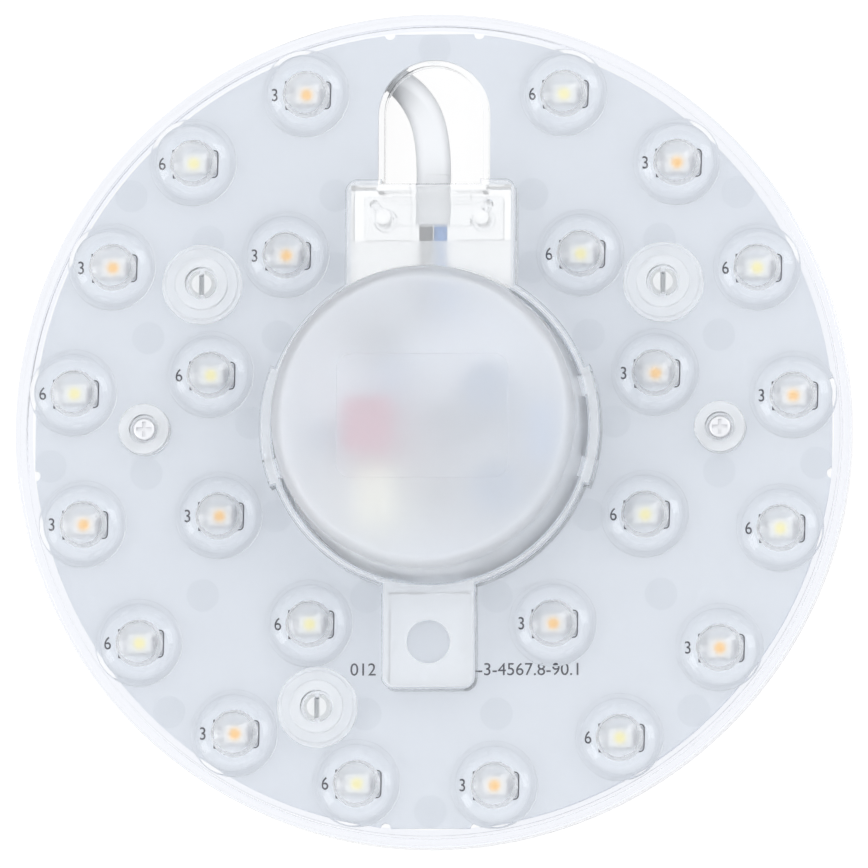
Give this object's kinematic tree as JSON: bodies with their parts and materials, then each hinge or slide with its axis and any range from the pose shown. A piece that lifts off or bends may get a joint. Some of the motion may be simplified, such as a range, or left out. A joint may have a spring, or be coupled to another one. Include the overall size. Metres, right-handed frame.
{
  "type": "magnetic LED ceiling module",
  "caption": "Round flat LED insert for a ceiling lamp: clear lens plate over a white board, frosted driver cover, flat cable through a slot, magnets at the back.",
  "frame": {"origin": "centre of the plane where the magnets touch the lamp's steel pan", "axes": "+Z out of the pan to the light side, +Y towards the cable slot, +X to the right seen from the light side"},
  "size_m": [0.128, 0.128, 0.0285],
  "materials": {
    "clear_plastic": "clear and polished",
    "frosted_plastic": "frosted, light comes through it",
    "board_white": "white solder mask on aluminium",
    "led_warm": "orange-yellow phosphor in a white body",
    "led_cool": "pale yellow phosphor in a white body",
    "magnet_nickel": "nickel plated, dull",
    "cup_steel": "zinc plated",
    "screw_steel": "nickel plated",
    "tray_white": "moulded, fine grain",
    "circuit_green": "green solder mask",
    "capacitor_red": "dipped resin",
    "tape_yellow": "polyester tape",
    "can_sleeve": "shrink sleeve",
    "varistor_blue": "dipped resin",
    "chip_black": "moulded epoxy",
    "ferrite_grey": "fired ferrite",
    "pin_tin": "tinned",
    "cable_white": "soft PVC, slight sheen",
    "core_black": "soft PVC",
    "core_blue": "soft PVC",
    "connector_white": "moulded nylon"
  },
  "bodies": {
    "root": {"lens_plate": "clear_plastic", "cable_clamp": "clear_plastic", "clamp_pins": "clear_plastic", "magnet_post_1": "clear_plastic", "magnet_post_2": "clear_plastic", "magnet_post_3": "clear_plastic", "driver_cover": "frosted_plastic", "led_board": "board_white", "led_warm_01": "led_warm", "led_warm_02": "led_warm", "led_warm_03": "led_warm", "led_warm_04": "led_warm", "led_warm_05": "led_warm", "led_warm_06": "led_warm", "led_warm_07": "led_warm", "led_warm_08": "led_warm", "led_warm_09": "led_warm", "led_warm_10": "led_warm", "led_warm_11": "led_warm", "led_warm_12": "led_warm", "led_cool_01": "led_cool", "led_cool_02": "led_cool", "led_cool_03": "led_cool", "led_cool_04": "led_cool", "led_cool_05": "led_cool", "led_cool_06": "led_cool", "led_cool_07": "led_cool", "led_cool_08": "led_cool", "led_cool_09": "led_cool", "led_cool_10": "led_cool", "led_cool_11": "led_cool", "led_cool_12": "led_cool", "magnet_1": "magnet_nickel", "magnet_2": "magnet_nickel", "magnet_3": "magnet_nickel", "magnet_cup_1": "cup_steel", "magnet_cup_2": "cup_steel", "magnet_cup_3": "cup_steel", "case_screws": "screw_steel", "driver_tray": "tray_white", "driver_board": "circuit_green", "film_capacitor": "capacitor_red", "choke": "tape_yellow", "safety_capacitor": "tape_yellow", "input_capacitor": "can_sleeve", "output_capacitor": "can_sleeve", "small_capacitor": "can_sleeve", "varistor": "varistor_blue", "bridge_rectifier": "chip_black", "control_chip": "chip_black", "link_header": "chip_black", "drum_choke": "ferrite_grey", "link_pins": "pin_tin", "cable_sheath": "cable_white", "cable_run": "cable_white", "lead_black": "core_black", "lead_blue": "core_blue", "wire_connector": "connector_white"}
  },
  "joints": []
}
